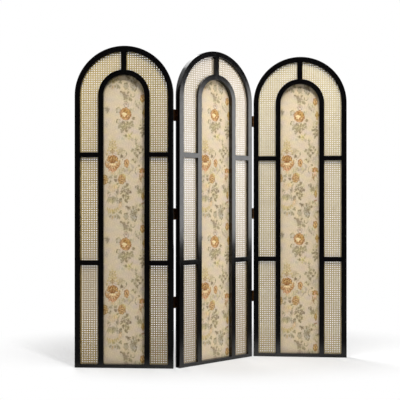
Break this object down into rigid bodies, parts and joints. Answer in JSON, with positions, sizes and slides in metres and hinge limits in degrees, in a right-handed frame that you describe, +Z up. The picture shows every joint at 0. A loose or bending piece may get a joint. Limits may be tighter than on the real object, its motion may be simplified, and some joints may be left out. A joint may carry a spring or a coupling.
{
  "type": "folding screen",
  "caption": "Free-standing folding screen of round-topped panels, each a lacquered frame with woven cane round a fabric centre, hinged to fold in a zigzag.",
  "frame": {"origin": "on the floor, under the middle of the box that holds the standing screen", "axes": "+Z up; the fronts of the panels face -Y, and the left panel is at -X as seen from the front"},
  "size_m": [1.6074, 0.4128, 1.83],
  "materials": {
    "lacquered_frame": "high gloss black lacquer",
    "lacquered_bead": "satin black lacquer",
    "cane": "natural, slight sheen",
    "fabric": "woven floral, matte",
    "board": "stained dark, matte",
    "hinge_brass": "aged brass, satin",
    "screw_brass": "aged brass, satin"
  },
  "bodies": {
    "left_panel": {"left_arch": "lacquered_frame", "left_stile_l": "lacquered_frame", "left_stile_r": "lacquered_frame", "left_base_rail": "lacquered_frame", "left_inner_arch": "lacquered_frame", "left_inner_stile_l": "lacquered_frame", "left_inner_stile_r": "lacquered_frame", "left_crown_bar": "lacquered_frame", "left_cross_rails": "lacquered_frame", "left_cane_upper": "cane", "left_cane_middle": "cane", "left_cane_lower": "cane", "left_cane_beads": "lacquered_bead", "left_fabric": "fabric", "left_board": "board", "left_fabric_bead": "lacquered_bead", "back_hinge_leaves_left": "hinge_brass", "back_hinge_pins": "hinge_brass", "back_hinge_screws_left": "screw_brass"},
    "middle_panel": {"middle_arch": "lacquered_frame", "middle_stile_l": "lacquered_frame", "middle_stile_r": "lacquered_frame", "middle_base_rail": "lacquered_frame", "middle_inner_arch": "lacquered_frame", "middle_inner_stile_l": "lacquered_frame", "middle_inner_stile_r": "lacquered_frame", "middle_crown_bar": "lacquered_frame", "middle_cross_rails": "lacquered_frame", "middle_cane_upper": "cane", "middle_cane_middle": "cane", "middle_cane_lower": "cane", "middle_cane_beads": "lacquered_bead", "middle_fabric": "fabric", "middle_board": "board", "middle_fabric_bead": "lacquered_bead", "back_hinge_leaves_middle": "hinge_brass", "back_hinge_screws_middle": "screw_brass", "front_hinge_leaves_middle": "hinge_brass", "front_hinge_pins": "hinge_brass", "front_hinge_screws_middle": "screw_brass"},
    "right_panel": {"right_arch": "lacquered_frame", "right_stile_l": "lacquered_frame", "right_stile_r": "lacquered_frame", "right_base_rail": "lacquered_frame", "right_inner_arch": "lacquered_frame", "right_inner_stile_l": "lacquered_frame", "right_inner_stile_r": "lacquered_frame", "right_crown_bar": "lacquered_frame", "right_cross_rails": "lacquered_frame", "right_cane_upper": "cane", "right_cane_middle": "cane", "right_cane_lower": "cane", "right_cane_beads": "lacquered_bead", "right_fabric": "fabric", "right_board": "board", "right_fabric_bead": "lacquered_bead", "front_hinge_leaves_right": "hinge_brass", "front_hinge_screws_right": "screw_brass"}
  },
  "joints": [
    {"name": "back_fold", "type": "hinge", "parent": "left_panel", "child": "middle_panel", "pos_m": [-0.23384, -0.16674, 0.875], "axis": [0, 0, 1], "range_deg": [-42.9, 137.1]},
    {"name": "front_fold", "type": "hinge", "parent": "middle_panel", "child": "right_panel", "pos_m": [0.23385, 0.16696, 0.875], "axis": [0, 0, -1], "range_deg": [-44.6, 135.4]}
  ]
}
